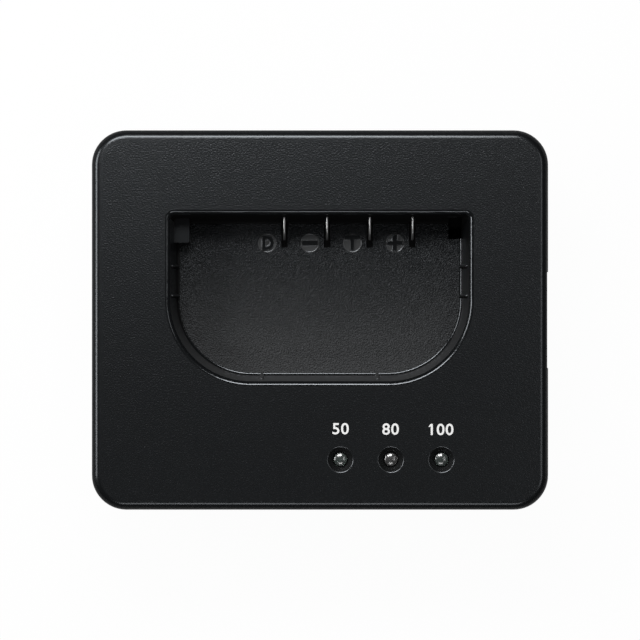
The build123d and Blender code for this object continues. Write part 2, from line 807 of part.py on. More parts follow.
def bulk_capacitor(x, y):
    """Mains reservoir capacitor lying on the board, its leads bent down at one end."""
    can = Rot(0, 90, 0) * round_can(bulk_radius, bulk_length)
    axis_z = board_top_z + bulk_radius
    can = Pos(x - bulk_length / 2, y, axis_z) * can
    end_x = x - bulk_length / 2
    lead_x = end_x - 2 * lead_radius
    for side in (-0.5, 0.5):
        lead_y = y + side * bulk_lead_pitch
        bend = Pos(lead_x, lead_y, axis_z)
        run = bend * Rot(0, 90, 0) * Cylinder(lead_radius, end_x - lead_x, align=standing)
        can = can + run + bend * Sphere(lead_radius) + lead(lead_x, lead_y, axis_z)
    return can


def transformer(x, y):
    """Ferrite core in two halves, its bobbin on pins, and the taped winding between the flanges."""
    base = board_top_z + bobbin_foot
    top = base + transformer_height
    half_x = transformer_width / 2
    half_y = transformer_depth / 2
    middle = (base + top) / 2
    window = half_x - core_leg
    whole = span(-half_x, half_x, -half_y, half_y, base, top)
    for side in (-1, 1):
        gap_x0, gap_x1 = sorted((side * core_post / 2, side * window))
        whole = whole - span(gap_x0, gap_x1, -half_y, half_y, base + core_yoke, top - core_yoke)
    cores = [whole & span(-half_x, half_x, -half_y, half_y, base, middle),
             whole & span(-half_x, half_x, -half_y, half_y, middle, top)]

    tube_x = core_post / 2 + core_clearance
    tube_y = half_y + core_clearance
    low = base + core_yoke + core_clearance
    high = top - core_yoke - core_clearance
    flange_x = window - core_clearance
    flange_y = bobbin_depth / 2
    drum_x = tube_x + bobbin_wall
    drum_y = tube_y + bobbin_wall
    bobbin = span(-drum_x, drum_x, -drum_y, drum_y, low, high)
    bobbin = bobbin + span(-flange_x, flange_x, -flange_y, flange_y, low, low + bobbin_flange)
    bobbin = bobbin + span(-flange_x, flange_x, -flange_y, flange_y, high - bobbin_flange, high)
    rail_y = half_y + core_clearance
    for side in (-1, 1):
        y0, y1 = sorted((side * rail_y, side * flange_y))
        bobbin = bobbin + span(-flange_x, flange_x, y0, y1, board_top_z, low + bobbin_flange)
    bobbin = bobbin - span(-tube_x, tube_x, -tube_y, tube_y, low, high)
    pin_y = (rail_y + flange_y) / 2
    bobbin = Pos(x, y, 0) * bobbin
    for side in (-1, 1):
        for i in (-1, 0, 1):
            bobbin = bobbin + lead(x + i * bobbin_pin_pitch, y + side * pin_y, board_top_z + lead_radius)

    wound_z0 = low + bobbin_flange
    wound_z1 = high - bobbin_flange
    outline = RectangleRounded(2 * (flange_x - winding_gap), 2 * (flange_y - winding_gap), 2 * winding_gap)
    winding = extrude(Pos(0, 0, wound_z0) * outline, wound_z1 - wound_z0)
    winding = winding - span(-drum_x, drum_x, -drum_y, drum_y, wound_z0, wound_z1)
    return [Pos(x, y, 0) * half for half in cores], bobbin, Pos(x, y, 0) * winding


def y_capacitor(x, y):
    """Small disc capacitor that stands on edge on two leads."""
    disc_z = board_top_z + y_cap_radius + 2 * lead_radius
    disc = Pos(x, y, disc_z) * Rot(90, 0, 0) * Cylinder(y_cap_radius, y_cap_thickness)
    disc = fillet(disc.edges().filter_by(GeomType.CIRCLE), y_cap_thickness / 3)
    for side in (-0.5, 0.5):
        disc = disc + lead(x + side * y_cap_pitch, y, disc_z)
    return disc


def output_inductor(x, y):
    """Shielded square inductor with cut corners."""
    body = block(inductor_side, inductor_side, inductor_height, x, y, board_top_z)
    body = chamfer(body.edges().filter_by(Axis.Z), inductor_edge)
    return body - post(inductor_side / 3, can_edge, x, y, board_top_z + inductor_height - can_edge)


def output_capacitor(x, y):
    """Low-voltage can that stands on the board."""
    can = Pos(x, y, board_top_z) * round_can(out_cap_radius, out_cap_height)
    for side in (-0.5, 0.5):
        can = can + lead(x, y + side * out_cap_pitch, board_top_z + lead_radius)
    return can


def chip_row(height, count, x, y):
    """Row of small soldered chip parts."""
    piece = block(resistor_width, resistor_length, height, x, y, board_top_z)
    return [Pos(i * resistor_pitch, 0, 0) * piece for i in range(count)]


# Places on the board, from the inlet at the right to the low-voltage side at the left
x_cap_x = inlet_back_x - part_gap - x_cap_width / 2
x_cap_y = x_cap_length / 2 - part_gap
fuse_x = inlet_back_x - part_gap - fuse_radius
fuse_y = x_cap_y - x_cap_length / 2 - part_gap - fuse_radius
choke_x = x_cap_x - x_cap_width / 2 - part_gap - choke_outer_radius - choke_turn
choke_y = x_cap_y + part_gap
bridge_x = choke_x
bridge_y = choke_y - choke_outer_radius - choke_turn - 3 * part_gap - bridge_length / 2
bulk_x = bridge_x - bridge_width / 2 - 2 * part_gap - bulk_length / 2
bulk_y = bridge_y
switch_x = choke_x - choke_outer_radius - choke_turn - 2 * part_gap - chip_length / 2
switch_y = bulk_y + bulk_radius + 3 * part_gap + chip_width / 2
y_cap_x = switch_x
y_cap_y = switch_y + chip_width / 2 + 3 * part_gap + y_cap_thickness / 2
opto_x = switch_x - chip_length / 2 - 2 * part_gap - opto_length / 2
opto_y = switch_y
transformer_x = tower_radius + part_gap + transformer_width / 2 - tower_x
transformer_y = part_gap + bobbin_depth / 2 - inside_half_depth
inductor_x = opto_x - opto_length / 2 - 2 * part_gap - inductor_side / 2
inductor_y = opto_y
diode_x = inductor_x
diode_y = inductor_y - inductor_side / 2 - 2 * part_gap - diode_length / 2
charge_x = inductor_x
charge_y = inductor_y + inductor_side / 2 + 3 * part_gap + charge_chip_width / 2
out_cap_x = board_gap + part_gap + out_cap_radius - inside_half_width
resistor_x = charge_x - charge_chip_length / 2
resistor_y = charge_y + charge_chip_width / 2 + 2 * part_gap + resistor_length / 2
ceramic_x = opto_x
ceramic_y = resistor_y

# Make every piece, and the board last, once every lead has its hole
nodes = {}
nodes["upper_case"] = upper_case()
nodes["lower_case"] = lower_case()
for sx, sy in corners:
    nodes[f"foot_{'front' if sy < 0 else 'rear'}_{'left' if sx < 0 else 'right'}"] = foot(sx, sy)
nodes["case_screws"] = case_screws()
nodes["board_screws"] = board_screws()
for name, x in zip(contact_names, contact_xs):
    nodes[f"contact_{name}"] = contact_blade(x)
nodes["contact_carrier"] = contact_carrier()
nodes["led_lead_frames"] = []
for name, x in zip(lamp_names, lamp_xs):
    frames = lamp_frames(x)
    nodes["led_lead_frames"] += frames
    nodes[f"led_lens_{name}"] = lamp_lens(x, frames)
nodes["led_holder"] = lamp_holder()
nodes["inlet_pin_live"] = inlet_pin(-1)
nodes["inlet_pin_neutral"] = inlet_pin(1)
nodes["mains_inlet"] = mains_inlet([nodes["inlet_pin_live"], nodes["inlet_pin_neutral"]])
nodes["fuse"] = fuse(fuse_x, fuse_y)
nodes["x_capacitor"] = x_capacitor(x_cap_x, x_cap_y)
nodes["choke_core"], nodes["choke_windings"] = choke(choke_x, choke_y)
bridge_size = (bridge_width, bridge_length, bridge_height)
nodes["bridge_rectifier"] = leaded_chip(bridge_size, 2 * chip_leg_pitch, bridge_legs, bridge_x, bridge_y)
nodes["bulk_capacitor"] = bulk_capacitor(bulk_x, bulk_y)
switch_size = (chip_length, chip_width, chip_height)
nodes["switching_chip"] = leaded_chip(switch_size, chip_leg_pitch, switch_legs, switch_x, switch_y)
nodes["y_capacitor"] = y_capacitor(y_cap_x, y_cap_y)
opto_size = (opto_length, chip_width, chip_height)
nodes["optocoupler"] = leaded_chip(opto_size, chip_leg_pitch, opto_legs, opto_x, opto_y)
cores, bobbin, winding = transformer(transformer_x, transformer_y)
nodes["transformer_core"] = cores
nodes["transformer_bobbin"] = bobbin
nodes["transformer_winding"] = winding
nodes["output_inductor"] = output_inductor(inductor_x, inductor_y)
diode_size = (diode_width, diode_length, diode_height)
nodes["output_diode"] = leaded_chip(diode_size, chip_leg_pitch, diode_legs, diode_x, diode_y)
out_cap_y = out_cap_radius + part_gap / 2
nodes["output_capacitors"] = [output_capacitor(out_cap_x, side * out_cap_y) for side in (-1, 1)]
charge_size = (charge_chip_length, charge_chip_width, charge_chip_height)
nodes["charge_chip"] = leaded_chip(charge_size, charge_leg_pitch, charge_legs, charge_x, charge_y)
nodes["chip_resistors"] = chip_row(resistor_height, resistor_count, resistor_x, resistor_y)
nodes["chip_capacitors"] = chip_row(ceramic_height, ceramic_count, ceramic_x, ceramic_y)
nodes["circuit_board"] = circuit_board()

os.makedirs("parts", exist_ok=True)
for name, shape in nodes.items():
    if isinstance(shape, list):
        shape = Compound(children=[solid for piece in shape for solid in piece.solids()])
    export_step(shape, f"parts/{name}.step")
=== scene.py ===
import math

import bpy
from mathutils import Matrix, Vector


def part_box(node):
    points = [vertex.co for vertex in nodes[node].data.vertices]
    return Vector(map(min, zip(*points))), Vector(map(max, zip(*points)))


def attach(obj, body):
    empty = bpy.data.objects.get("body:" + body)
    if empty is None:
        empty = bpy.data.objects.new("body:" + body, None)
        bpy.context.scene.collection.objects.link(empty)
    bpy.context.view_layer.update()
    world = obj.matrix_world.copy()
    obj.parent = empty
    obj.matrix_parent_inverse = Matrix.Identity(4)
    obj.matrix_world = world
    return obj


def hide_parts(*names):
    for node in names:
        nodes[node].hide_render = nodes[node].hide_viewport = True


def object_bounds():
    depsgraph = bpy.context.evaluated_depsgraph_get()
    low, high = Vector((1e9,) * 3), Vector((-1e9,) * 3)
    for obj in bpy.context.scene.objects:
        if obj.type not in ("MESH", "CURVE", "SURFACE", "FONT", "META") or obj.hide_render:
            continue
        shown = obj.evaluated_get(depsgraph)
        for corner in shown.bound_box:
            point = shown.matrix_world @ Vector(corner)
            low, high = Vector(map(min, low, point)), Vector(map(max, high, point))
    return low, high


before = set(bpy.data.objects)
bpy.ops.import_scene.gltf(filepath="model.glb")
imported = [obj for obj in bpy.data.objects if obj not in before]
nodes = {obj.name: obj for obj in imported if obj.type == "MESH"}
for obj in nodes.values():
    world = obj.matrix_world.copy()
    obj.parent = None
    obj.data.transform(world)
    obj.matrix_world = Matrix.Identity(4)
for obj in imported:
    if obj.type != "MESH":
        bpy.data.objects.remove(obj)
cad_low, cad_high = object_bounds()

# Camera
# The charger is seen from straight above, square to its top face, through a long lens,
# so its sides stay hidden behind the rounded top edge.
camera_data = bpy.data.cameras.new("camera")
camera_data.sensor_width = 36.0
camera_data.lens = 176.08
camera = bpy.data.objects.new("camera", camera_data)
camera.location = (0.0, 0.0, 0.680)
bpy.context.scene.collection.objects.link(camera)
bpy.context.scene.camera = camera
bpy.context.scene.view_settings.view_transform = "Standard"

# Studio
# A wide sheet of pale paper lies under the charger. One soft light stands behind the contact wall,
# a low one at the left, and two fainter ones draw the right and front edges.
world = bpy.data.worlds.new("studio_air")
world.use_nodes = True
air = world.node_tree.nodes["Background"]
air.inputs["Color"].default_value = (1.0, 1.0, 1.0, 1.0)
air.inputs["Strength"].default_value = 0.05
bpy.context.scene.world = world


def add_node(tree, kind, values=None, **settings):
    """New node with its settings and the values of its unlinked sockets."""
    made = tree.nodes.new(kind)
    for key, value in settings.items():
        setattr(made, key, value)
    for key, value in (values or {}).items():
        made.inputs[key].default_value = value
    return made


bpy.ops.object.select_all(action="DESELECT")
bpy.ops.mesh.primitive_plane_add(size=30.0, location=(0.0, 0.0, 0.0))
floor = bpy.context.object
floor.name = "studio_floor"
floor_paper = bpy.data.materials.new("floor_paper")
floor_paper.use_nodes = True
tree = floor_paper.node_tree
paper = tree.nodes["Principled BSDF"]
paper.inputs["Base Color"].default_value = (0.86, 0.86, 0.86, 1.0)
paper.inputs["Roughness"].default_value = 0.9
paper.inputs["Specular IOR Level"].default_value = 0.1
ray = add_node(tree, "ShaderNodeLightPath")
seen = add_node(tree, "ShaderNodeMath", operation="MAXIMUM")
tree.links.new(ray.outputs["Is Camera Ray"], seen.inputs[0])
tree.links.new(ray.outputs["Is Glossy Ray"], seen.inputs[1])
seen_through = add_node(tree, "ShaderNodeMath", operation="MAXIMUM")
tree.links.new(seen.outputs[0], seen_through.inputs[0])
tree.links.new(ray.outputs["Is Transmission Ray"], seen_through.inputs[1])
glow_share = add_node(tree, "ShaderNodeMath", {1: 0.97}, operation="MULTIPLY")
tree.links.new(seen_through.outputs[0], glow_share.inputs[0])
glow = add_node(tree, "ShaderNodeEmission", {"Color": (1.0, 1.0, 1.0, 1.0), "Strength": 1.0})
blend = add_node(tree, "ShaderNodeMixShader")
tree.links.new(glow_share.outputs[0], blend.inputs["Fac"])
tree.links.new(paper.outputs["BSDF"], blend.inputs[1])
tree.links.new(glow.outputs["Emission"], blend.inputs[2])
tree.links.new(blend.outputs["Shader"], tree.nodes["Material Output"].inputs["Surface"])
floor.data.materials.append(floor_paper)


def soft_light(name, place, width, depth, power):
    """Rectangular soft light that points at the middle of the charger's top face."""
    bpy.ops.object.light_add(type="AREA", location=place)
    light = bpy.context.object
    light.name = name
    light.data.shape = "RECTANGLE"
    light.data.size = width
    light.data.size_y = depth
    light.data.energy = power
    aim = Vector((0.0, 0.0, cad_high.z)) - Vector(place)
    light.rotation_euler = aim.to_track_quat("-Z", "Y").to_euler()


soft_light("light_rear", (-0.045, 0.190, 0.28), width=0.22, depth=0.09, power=0.85)
soft_light("light_left", (-0.278, 0.05, 0.19), width=0.20, depth=0.08, power=0.42)
soft_light("light_right", (0.176, 0.0, 0.28), width=0.20, depth=0.05, power=0.08)
soft_light("light_front", (0.0, -0.236, 0.28), width=0.20, depth=0.05, power=0.17)

# Base tray
# The lower half of the case is a tray of black plastic, moulded with a fine leather grain.
# It stands on four feet and meets the top shell at a shallow groove.


def group_with(name, inputs, outputs):
    """Empty shader group with named number sockets, and its two end nodes."""
    group = bpy.data.node_groups.new(name, "ShaderNodeTree")
    for socket in inputs:
        group.interface.new_socket(socket, in_out="INPUT", socket_type="NodeSocketFloat")
    for socket in outputs:
        group.interface.new_socket(socket, in_out="OUTPUT", socket_type="NodeSocketFloat")
    return group, group.nodes.new("NodeGroupInput"), group.nodes.new("NodeGroupOutput")


polished_roughness = 0.24
mould_grain, grain_in, grain_out = group_with(
    "mould_grain", ["Cells", "Level Only"], ["Height", "Polish", "Mottle"])
point = add_node(mould_grain, "ShaderNodeTexCoord")
fine = add_node(mould_grain, "ShaderNodeTexNoise", {"Detail": 1.5, "Roughness": 0.5})
mould_grain.links.new(point.outputs["Object"], fine.inputs["Vector"])
mould_grain.links.new(grain_in.outputs["Cells"], fine.inputs["Scale"])
centred = add_node(mould_grain, "ShaderNodeMath", {1: 0.5}, operation="SUBTRACT")
mould_grain.links.new(fine.outputs["Fac"], centred.inputs[0])
facing = add_node(mould_grain, "ShaderNodeNewGeometry")
facing_axes = add_node(mould_grain, "ShaderNodeSeparateXYZ")
mould_grain.links.new(facing.outputs["Normal"], facing_axes.inputs["Vector"])
upright = add_node(mould_grain, "ShaderNodeMath", operation="ABSOLUTE")
mould_grain.links.new(facing_axes.outputs["Z"], upright.inputs[0])
tilted = add_node(mould_grain, "ShaderNodeMapRange",
                  {"From Min": 0.985, "From Max": 0.999, "To Min": 1.0, "To Max": 0.0})
mould_grain.links.new(upright.outputs[0], tilted.inputs["Value"])
polish = add_node(mould_grain, "ShaderNodeMath", operation="MULTIPLY")
mould_grain.links.new(tilted.outputs["Result"], polish.inputs[0])
mould_grain.links.new(grain_in.outputs["Level Only"], polish.inputs[1])
grained = add_node(mould_grain, "ShaderNodeMath", {0: 1.0}, operation="SUBTRACT")
mould_grain.links.new(polish.outputs[0], grained.inputs[1])
height = add_node(mould_grain, "ShaderNodeMath", operation="MULTIPLY")
mould_grain.links.new(centred.outputs[0], height.inputs[0])
mould_grain.links.new(grained.outputs[0], height.inputs[1])
cloud = add_node(mould_grain, "ShaderNodeTexNoise", {"Scale": 90.0, "Detail": 2.0})
mould_grain.links.new(point.outputs["Object"], cloud.inputs["Vector"])
mould_grain.links.new(height.outputs[0], grain_out.inputs["Height"])
mould_grain.links.new(polish.outputs[0], grain_out.inputs["Polish"])
mould_grain.links.new(cloud.outputs["Fac"], grain_out.inputs["Mottle"])


def moulded_plastic(name, dark, light, roughness, gloss, cells, depth, level_only=0.0):
    """Grained plastic. With level_only at 1, faces that aren't level are polished instead."""
    material = bpy.data.materials.new(name)
    material.use_nodes = True
    tree = material.node_tree
    skin = tree.nodes["Principled BSDF"]
    skin.inputs["Specular IOR Level"].default_value = gloss
    skin.inputs["Specular Tint"].default_value = (0.90, 0.95, 1.0, 1.0)
    surface = add_node(tree, "ShaderNodeGroup", node_tree=mould_grain)
    surface.inputs["Cells"].default_value = cells
    surface.inputs["Level Only"].default_value = level_only
    tone = add_node(tree, "ShaderNodeMix", {6: (*dark, 1.0), 7: (*light, 1.0)}, data_type="RGBA")
    tree.links.new(surface.outputs["Mottle"], tone.inputs["Factor"])
    tree.links.new(tone.outputs[2], skin.inputs["Base Color"])
    finish = add_node(tree, "ShaderNodeMapRange", {"To Min": roughness, "To Max": polished_roughness})
    tree.links.new(surface.outputs["Polish"], finish.inputs["Value"])
    tree.links.new(finish.outputs["Result"], skin.inputs["Roughness"])
    relief = add_node(tree, "ShaderNodeBump", {"Distance": depth})
    tree.links.new(surface.outputs["Height"], relief.inputs["Height"])
    tree.links.new(relief.outputs["Normal"], skin.inputs["Normal"])
    return material


weld_reach = 0.000001
smooth_angle = math.radians(40.0)


def joined_copy(node, name):
    """A piece's own mesh from its solid, with its triangles joined and its round faces smooth."""
    piece = bpy.data.objects.new(name, nodes[node].data.copy())
    bpy.context.scene.collection.objects.link(piece)
    bpy.ops.object.select_all(action="DESELECT")
    piece.select_set(True)
    bpy.context.view_layer.objects.active = piece
    bpy.ops.mesh.customdata_custom_splitnormals_clear()
    bpy.ops.object.mode_set(mode="EDIT")
    bpy.ops.mesh.select_all(action="SELECT")
    bpy.ops.mesh.remove_doubles(threshold=weld_reach)
    bpy.ops.object.mode_set(mode="OBJECT")
    bpy.ops.object.shade_smooth_by_angle(angle=smooth_angle)
    piece.data.materials.clear()
    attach(piece, "root")
    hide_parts(node)
    return piece


def weigh_normals(piece):
    """Large flat faces keep their shading right up to the rounded edges beside them."""
    bpy.context.view_layer.objects.active = piece
    weights = piece.modifiers.new("face_weights", "WEIGHTED_NORMAL")
    weights.keep_sharp = True
    bpy.ops.object.modifier_apply(modifier=weights.name)


case_dark = (0.0034, 0.0038, 0.0042)
case_light = (0.0046, 0.0051, 0.0056)
grain_cells = 3200.0
side_plastic = moulded_plastic("side_plastic", case_dark, case_light, roughness=0.45, gloss=0.10,
                               cells=grain_cells, depth=0.000075)
base_tray = joined_copy("lower_case", "base_tray")
weigh_normals(base_tray)
base_tray.data.materials.append(side_plastic)

# Feet
# Four round pads of soft black rubber, each pressed into a shallow seat under the tray.
# Their faces are dull, with the fine speckle of filled rubber.
surface_mottle, mottle_in, mottle_out = group_with("surface_mottle", ["Cells"], ["Broad", "Fine"])
point = add_node(surface_mottle, "ShaderNodeTexCoord")
fine = add_node(surface_mottle, "ShaderNodeTexNoise", {"Detail": 4.0, "Roughness": 0.6})
surface_mottle.links.new(point.outputs["Object"], fine.inputs["Vector"])
surface_mottle.links.new(mottle_in.outputs["Cells"], fine.inputs["Scale"])
broad_scale = add_node(surface_mottle, "ShaderNodeMath", {1: 0.15}, operation="MULTIPLY")
surface_mottle.links.new(mottle_in.outputs["Cells"], broad_scale.inputs[0])
broad = add_node(surface_mottle, "ShaderNodeTexNoise", {"Detail": 2.0})
surface_mottle.links.new(point.outputs["Object"], broad.inputs["Vector"])
surface_mottle.links.new(broad_scale.outputs[0], broad.inputs["Scale"])
surface_mottle.links.new(broad.outputs["Fac"], mottle_out.inputs["Broad"])
surface_mottle.links.new(fine.outputs["Fac"], mottle_out.inputs["Fine"])


roughness_swing = 0.08


def mottled(name, dark, light, roughness, cells, depth, metallic=0.0):
    """Material with a broad change of tone, and a fine one in its roughness and relief."""
    material = bpy.data.materials.new(name)
    material.use_nodes = True
    tree = material.node_tree
    skin = tree.nodes["Principled BSDF"]
    skin.inputs["Metallic"].default_value = metallic
    surface = add_node(tree, "ShaderNodeGroup", node_tree=surface_mottle)
    surface.inputs["Cells"].default_value = cells
    tone = add_node(tree, "ShaderNodeMix", {6: (*dark, 1.0), 7: (*light, 1.0)}, data_type="RGBA")
    tree.links.new(surface.outputs["Broad"], tone.inputs["Factor"])
    tree.links.new(tone.outputs[2], skin.inputs["Base Color"])
    finish = add_node(tree, "ShaderNodeMapRange",
                      {"To Min": roughness - roughness_swing, "To Max": roughness + roughness_swing})
    tree.links.new(surface.outputs["Fine"], finish.inputs["Value"])
    tree.links.new(finish.outputs["Result"], skin.inputs["Roughness"])
    relief = add_node(tree, "ShaderNodeBump", {"Distance": depth})
    tree.links.new(surface.outputs["Fine"], relief.inputs["Height"])
    tree.links.new(relief.outputs["Normal"], skin.inputs["Normal"])
    return material


def finish_nodes(material, *names):
    """Gives solids that are shown as they are their own finish."""
    for name in names:
        nodes[name].material_slots[0].material = material


foot_rubber = mottled("foot_rubber", (0.012, 0.012, 0.012), (0.022, 0.022, 0.021),
                      roughness=0.8, cells=1500.0, depth=0.00002)
finish_nodes(foot_rubber,
             "foot_front_left", "foot_front_right", "foot_rear_left", "foot_rear_right")

# Circuit board
# A plate of glass-fibre laminate under green lacquer, held down on four standoffs by short screws.
# The copper tracks show through the lacquer as paler paths.
smooth_depth = 0.00001
board_green = mottled("board_green", (0.004, 0.045, 0.018), (0.010, 0.085, 0.032),
                      roughness=0.35, cells=900.0, depth=smooth_depth)
tree = board_green.node_tree
tracks = add_node(tree, "ShaderNodeTexVoronoi", {"Scale": 240.0}, feature="DISTANCE_TO_EDGE")
point = add_node(tree, "ShaderNodeTexCoord")
tree.links.new(point.outputs["Object"], tracks.inputs["Vector"])
track_edge = add_node(tree, "ShaderNodeMapRange",
                      {"From Min": 0.05, "From Max": 0.09, "To Min": 1.0, "To Max": 0.0})
tree.links.new(tracks.outputs["Distance"], track_edge.inputs["Value"])
lacquer = add_node(tree, "ShaderNodeMix", {7: (0.03, 0.16, 0.05, 1.0)}, data_type="RGBA")
tree.links.new(track_edge.outputs["Result"], lacquer.inputs["Factor"])
skin = tree.nodes["Principled BSDF"]
tree.links.new(skin.inputs["Base Color"].links[0].from_socket, lacquer.inputs[6])
tree.links.new(lacquer.outputs[2], skin.inputs["Base Color"])
finish_nodes(board_green, "circuit_board")
screw_steel = mottled("screw_steel", (0.42, 0.42, 0.43), (0.56, 0.56, 0.55),
                      roughness=0.35, cells=2500.0, depth=smooth_depth, metallic=1.0)
finish_nodes(screw_steel, "board_screws", "case_screws")

# Power parts on the board
# From the inlet leftwards: a moulded fuse, a boxed film capacitor, a ring choke, the rectifier,
# the reservoir can, the switching chip and the transformer, each soldered by its leads.
fuse_brown = mottled("fuse_brown", (0.050, 0.016, 0.009), (0.085, 0.028, 0.014),
                     roughness=0.45, cells=1200.0, depth=smooth_depth)
film_yellow = mottled("film_yellow", (0.52, 0.33, 0.03), (0.66, 0.43, 0.05),
                      roughness=0.42, cells=1200.0, depth=smooth_depth)
ferrite = mottled("ferrite", (0.016, 0.016, 0.017), (0.034, 0.033, 0.033),
                  roughness=0.62, cells=2400.0, depth=0.00003)
can_sleeve = mottled("can_sleeve", (0.008, 0.010, 0.020), (0.016, 0.020, 0.040),
                     roughness=0.3, cells=600.0, depth=smooth_depth)
disc_blue = mottled("disc_blue", (0.015, 0.075, 0.26), (0.025, 0.110, 0.34),
                    roughness=0.4, cells=1500.0, depth=0.00003)
chip_black = mottled("chip_black", (0.010, 0.010, 0.011), (0.020, 0.020, 0.021),
                     roughness=0.55, cells=4000.0, depth=smooth_depth)
finish_nodes(fuse_brown, "fuse")
finish_nodes(film_yellow, "x_capacitor")
finish_nodes(ferrite, "choke_core", "transformer_core", "output_inductor")
finish_nodes(can_sleeve, "bulk_capacitor", "output_capacitors")
finish_nodes(disc_blue, "y_capacitor")
finish_nodes(chip_black, "bridge_rectifier", "switching_chip", "optocoupler", "output_diode",
             "charge_chip", "transformer_bobbin")


turn_height = 0.00008


def wound(name, dark, light, metallic, middle, turns):
    """Wire or tape laid in even turns, round the point middle if it has one, or else upwards."""
    material = mottled(name, dark, light, roughness=0.35, cells=1500.0, depth=turn_height,
                       metallic=metallic)
    tree = material.node_tree
    point = add_node(tree, "ShaderNodeTexCoord")
    turn = add_node(tree, "ShaderNodeMath", {1: turns}, operation="MULTIPLY")
    if middle is None:
        axes = add_node(tree, "ShaderNodeSeparateXYZ")
        tree.links.new(point.outputs["Object"], axes.inputs["Vector"])
        tree.links.new(axes.outputs["Z"], turn.inputs[0])
    else:
        centre = add_node(tree, "ShaderNodeMapping",
                          {"Location": (-middle.x, -middle.y, -middle.z)})
        tree.links.new(point.outputs["Object"], centre.inputs["Vector"])
        angle = add_node(tree, "ShaderNodeTexGradient", gradient_type="RADIAL")
        tree.links.new(centre.outputs["Vector"], angle.inputs["Vector"])
        tree.links.new(angle.outputs["Fac"], turn.inputs[0])
    ridge = add_node(tree, "ShaderNodeMath", operation="SINE")
    tree.links.new(turn.outputs[0], ridge.inputs[0])
    relief = tree.nodes["Principled BSDF"].inputs["Normal"].links[0].from_node
    tree.links.new(ridge.outputs[0], relief.inputs["Height"])
    return material


choke_low, choke_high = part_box("choke_core")
choke_middle = (choke_low + choke_high) / 2
choke_turns = 2.0 * math.pi * 44
copper_wire = wound("copper_wire", (0.50, 0.16, 0.06), (0.62, 0.24, 0.10),
                    metallic=1.0, middle=choke_middle, turns=choke_turns)
finish_nodes(copper_wire, "choke_windings")
tape_turns = 2.0 * math.pi * 900
winding_tape = wound("winding_tape", (0.62, 0.42, 0.03), (0.74, 0.52, 0.05),
                     metallic=0.0, middle=None, turns=tape_turns)
finish_nodes(winding_tape, "transformer_winding")

# Low-voltage parts on the board
# Rows of small ceramic parts are soldered flat beside the charge chip.
# Their bodies are fired ceramic, with a dry, chalky face.
ceramic_tan = mottled("ceramic_tan", (0.36, 0.25, 0.14), (0.48, 0.35, 0.21),
                      roughness=0.6, cells=3000.0, depth=smooth_depth)
finish_nodes(ceramic_tan, "chip_resistors", "chip_capacitors")

# Mains inlet
# A glossy black housing with a figure-of-eight socket, clamped between the two halves of the case.
# Its two round pins are nickel-plated brass.
fine_cells = 3000.0
inlet_plastic = moulded_plastic("inlet_plastic", (0.010, 0.010, 0.011), (0.013, 0.013, 0.014),
                                roughness=0.42, gloss=0.5, cells=fine_cells, depth=smooth_depth)
finish_nodes(inlet_plastic, "mains_inlet", "contact_carrier")

drawn_lines, lines_in, lines_out = group_with("drawn_lines", ["Lines"], ["Streak"])
point = add_node(drawn_lines, "ShaderNodeTexCoord")
stretch = add_node(drawn_lines, "ShaderNodeMapping", {"Scale": (1.0, 0.08, 1.0)})
drawn_lines.links.new(point.outputs["Object"], stretch.inputs["Vector"])
streak = add_node(drawn_lines, "ShaderNodeTexNoise", {"Detail": 3.0})
drawn_lines.links.new(stretch.outputs["Vector"], streak.inputs["Vector"])
drawn_lines.links.new(lines_in.outputs["Lines"], streak.inputs["Scale"])
drawn_lines.links.new(streak.outputs["Fac"], lines_out.inputs["Streak"])


streak_swing = 0.1
streak_depth = 0.000004


def plated_metal(name, dark, light, roughness, lines):
    """Plated sheet or wire with faint drawing lines along its length."""
    material = bpy.data.materials.new(name)
    material.use_nodes = True
    tree = material.node_tree
    skin = tree.nodes["Principled BSDF"]
    skin.inputs["Metallic"].default_value = 1.0
    surface = add_node(tree, "ShaderNodeGroup", node_tree=drawn_lines)
    surface.inputs["Lines"].default_value = lines
    tone = add_node(tree, "ShaderNodeMix", {6: (*dark, 1.0), 7: (*light, 1.0)}, data_type="RGBA")
    tree.links.new(surface.outputs["Streak"], tone.inputs["Factor"])
    tree.links.new(tone.outputs[2], skin.inputs["Base Color"])
    finish = add_node(tree, "ShaderNodeMapRange",
                      {"To Min": roughness - streak_swing, "To Max": roughness + streak_swing})
    tree.links.new(surface.outputs["Streak"], finish.inputs["Value"])
    tree.links.new(finish.outputs["Result"], skin.inputs["Roughness"])
    relief = add_node(tree, "ShaderNodeBump", {"Distance": streak_depth})
    tree.links.new(surface.outputs["Streak"], relief.inputs["Height"])
    tree.links.new(relief.outputs["Normal"], skin.inputs["Normal"])
    return material


pin_nickel = plated_metal("pin_nickel", (0.50, 0.48, 0.44), (0.62, 0.60, 0.55),
                          roughness=0.28, lines=2500.0)
finish_nodes(pin_nickel, "inlet_pin_live", "inlet_pin_neutral")

# Battery contacts
# Four flat springs stamped from nickel-plated strip. They stand in a moulded carrier behind the bay
# and reach through slots in its wall. Stamping rounds their edges.
contact_nickel = plated_metal("contact_nickel", (0.41, 0.41, 0.41), (0.52, 0.52, 0.52),
                              roughness=0.38, lines=3000.0)
blade_edge = 0.00019
flat_angle = math.radians(1.0)
for name in ("data", "minus", "temperature", "plus"):
    blade = joined_copy(f"contact_{name}", f"contact_blade_{name}")
    bpy.ops.object.mode_set(mode="EDIT")
    bpy.ops.mesh.select_all(action="SELECT")
    bpy.ops.mesh.dissolve_limited(angle_limit=flat_angle)
    bpy.ops.object.mode_set(mode="OBJECT")
    edge = blade.modifiers.new("stamped_edge", "BEVEL")
    edge.width = blade_edge
    edge.segments = 3
    edge.limit_method = "ANGLE"
    bpy.ops.object.modifier_apply(modifier=edge.name)
    bpy.ops.object.shade_smooth_by_angle(angle=smooth_angle)
    weigh_normals(blade)
    blade.data.materials.append(contact_nickel)

